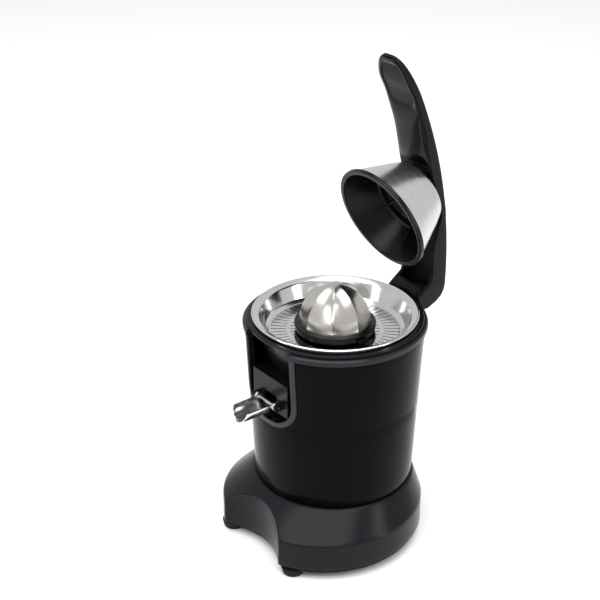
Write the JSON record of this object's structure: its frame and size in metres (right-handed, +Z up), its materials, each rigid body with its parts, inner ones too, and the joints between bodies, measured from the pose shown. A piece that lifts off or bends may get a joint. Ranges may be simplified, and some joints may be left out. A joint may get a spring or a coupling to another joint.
{
  "type": "citrus press juicer",
  "caption": "Lever citrus press with a dark flared body, hinged press dome, lift-out bowl, strainer and reaming cones, and a steel drip spout above a scooped base.",
  "frame": {"origin": "centre of the whole box on the table plane", "axes": "+Z up, -Y towards the spout and the user, +Y towards the lever hinge"},
  "size_m": [0.214, 0.2618, 0.5086],
  "materials": {
    "base_moulding": "glossy dark charcoal moulding",
    "base_plate_black": "matte black moulding",
    "foot_rubber": "soft black rubber",
    "steel_screw": "zinc plated steel",
    "sleeve_gloss": "high gloss black",
    "liner_charcoal": "glossy dark charcoal moulding",
    "notch_lip": "satin charcoal lip",
    "chassis_nylon": "glass filled nylon",
    "motor_steel": "zinc plated sheet",
    "winding_copper": "enamelled copper wire",
    "rotor_steel": "laminated steel",
    "shaft_steel": "ground steel",
    "gear_white": "natural acetal",
    "spring_steel": "spring steel",
    "switch_red": "moulded switch",
    "lever_black": "matte dark grey moulding",
    "lever_gloss": "gloss black moulding",
    "dome_steel": "brushed stainless",
    "dome_black": "satin black moulding",
    "bowl_black": "satin black moulding",
    "spout_steel": "polished stainless",
    "strainer_steel": "polished stainless",
    "cone_black": "gloss black moulding",
    "cone_steel": "satin stainless"
  },
  "bodies": {
    "housing": {"base_shell": "base_moulding", "base_plate": "base_plate_black", "foot_1": "foot_rubber", "foot_2": "foot_rubber", "foot_3": "foot_rubber", "foot_4": "foot_rubber", "base_screw_1": "steel_screw", "base_screw_2": "steel_screw", "base_screw_3": "steel_screw", "base_screw_4": "steel_screw", "cord_gland": "base_plate_black", "outer_sleeve": "sleeve_gloss", "notch_trim": "notch_lip", "inner_liner": "liner_charcoal", "gearbox_plate": "chassis_nylon", "gearbox_cover": "chassis_nylon", "motor_can": "motor_steel", "motor_winding": "winding_copper", "motor_stand": "chassis_nylon", "intermediate_axle": "shaft_steel", "start_switch": "switch_red", "switch_board": "chassis_nylon", "shaft_spring": "spring_steel", "hinge_bracket": "lever_black", "hinge_pin": "shaft_steel", "hinge_spring_1": "spring_steel", "hinge_spring_2": "spring_steel"},
    "rotor": {"rotor_core": "rotor_steel", "rotor_shaft": "shaft_steel", "rotor_pinion": "shaft_steel"},
    "intermediate": {"intermediate_gear": "gear_white"},
    "output": {"output_gear": "gear_white"},
    "shaft": {"drive_shaft": "shaft_steel", "shaft_collar": "chassis_nylon"},
    "plunger": {"switch_plunger": "switch_red"},
    "lever": {"lever_shell": "lever_black", "lever_cover": "lever_gloss", "lever_screw_1": "steel_screw", "lever_screw_2": "steel_screw", "dome_pin": "shaft_steel"},
    "dome": {"dome_shell": "dome_steel", "dome_ring": "dome_black", "dome_liner": "dome_black", "dome_hub": "dome_black"},
    "bowl": {"juice_bowl": "bowl_black", "bowl_outlet": "bowl_black", "spout_pin": "shaft_steel"},
    "spout": {"drip_spout": "spout_steel"},
    "strainer": {"strainer_dish": "strainer_steel", "strainer_hub": "bowl_black"},
    "bush": {"cone_bush": "cone_black"},
    "small_cone": {"small_cone": "cone_black"},
    "large_cone": {"cone_carrier": "bowl_black", "large_cone": "cone_steel"}
  },
  "joints": [
    {"name": "lever_hinge", "type": "hinge", "parent": "housing", "child": "lever", "pos_m": [0, 0.0986, 0.245], "axis": [-1, 0, 0], "range_deg": [-69, 0], "stiffness_Nm_per_rad": 0.7, "springref_deg": 51.57},
    {"name": "dome_tilt", "type": "hinge", "parent": "lever", "child": "dome", "pos_m": [0, 0.1121, 0.36051], "axis": [-1, 0, 0], "range_deg": [0, 8]},
    {"name": "bowl_lift", "type": "slide", "parent": "housing", "child": "bowl", "axis": [0, -0.3746, 0.9272], "range_m": [0, 0.095]},
    {"name": "spout_tilt", "type": "hinge", "parent": "bowl", "child": "spout", "pos_m": [0, -0.0929, 0.178], "axis": [-1, 0, 0], "range_deg": [0, 30]},
    {"name": "strainer_lift", "type": "slide", "parent": "bowl", "child": "strainer", "axis": [0, -0.3746, 0.9272], "range_m": [0, 0.1]},
    {"name": "cone_lift", "type": "slide", "parent": "strainer", "child": "bush", "axis": [0, 0, 1], "range_m": [0, 0.06]},
    {"name": "cone_spin", "type": "hinge", "parent": "bush", "child": "small_cone", "pos_m": [0, -0.0044, 0.25], "axis": [0, 0, 1], "continuous": true},
    {"name": "large_cone_lift", "type": "slide", "parent": "small_cone", "child": "large_cone", "axis": [0, 0, 1], "range_m": [0, 0.055]},
    {"name": "rotor_spin", "type": "hinge", "parent": "housing", "child": "rotor", "pos_m": [0, 0.0416, 0.08], "axis": [0, 0, 1], "continuous": true},
    {"name": "intermediate_spin", "type": "hinge", "parent": "housing", "child": "intermediate", "pos_m": [0.02575, 0.02621, 0.13], "axis": [0, 0, 1], "continuous": true},
    {"name": "output_spin", "type": "hinge", "parent": "housing", "child": "output", "pos_m": [0, -0.0044, 0.13], "axis": [0, 0, 1], "continuous": true},
    {"name": "shaft_press", "type": "slide", "parent": "output", "child": "shaft", "axis": [0, 0, 1], "range_m": [-0.0025, 0], "stiffness_N_per_m": 1500, "springref_m": 0.003, "deforming": ["shaft_spring"]},
    {"name": "plunger_press", "type": "slide", "parent": "housing", "child": "plunger", "axis": [0, 0, 1], "range_m": [-0.0025, 0]}
  ],
  "couplings": [
    {"joint": "intermediate_spin", "follows": "rotor_spin", "ratio": -0.25},
    {"joint": "output_spin", "follows": "rotor_spin", "ratio": 0.057692},
    {"joint": "cone_spin", "follows": "rotor_spin", "ratio": 0.057692},
    {"joint": "plunger_press", "follows": "shaft_press", "ratio": 1}
  ]
}
